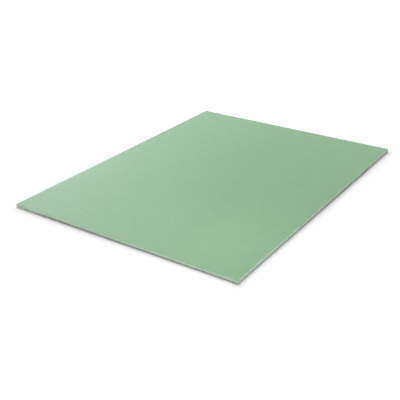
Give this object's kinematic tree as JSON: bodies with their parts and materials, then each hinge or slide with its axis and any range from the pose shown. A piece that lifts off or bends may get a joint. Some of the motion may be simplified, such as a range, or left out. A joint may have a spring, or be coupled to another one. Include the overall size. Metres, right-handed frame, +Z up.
{
  "type": "acoustic underlay board",
  "caption": "Flat rectangular board of pressed green wood fibre with sawn square edges, laid loose under a floor covering to damp footfall sound and even out the subfloor.",
  "frame": {"origin": "centre of the underside, on the level that the board rests on", "axes": "+X along the board's length, +Y along its width, +Z up out of the smooth face that carries the floor covering"},
  "size_m": [0.79, 0.59, 0.0055],
  "materials": {
    "green_fibreboard": "matte"
  },
  "bodies": {
    "root": {"underlay_board": "green_fibreboard"}
  },
  "joints": []
}
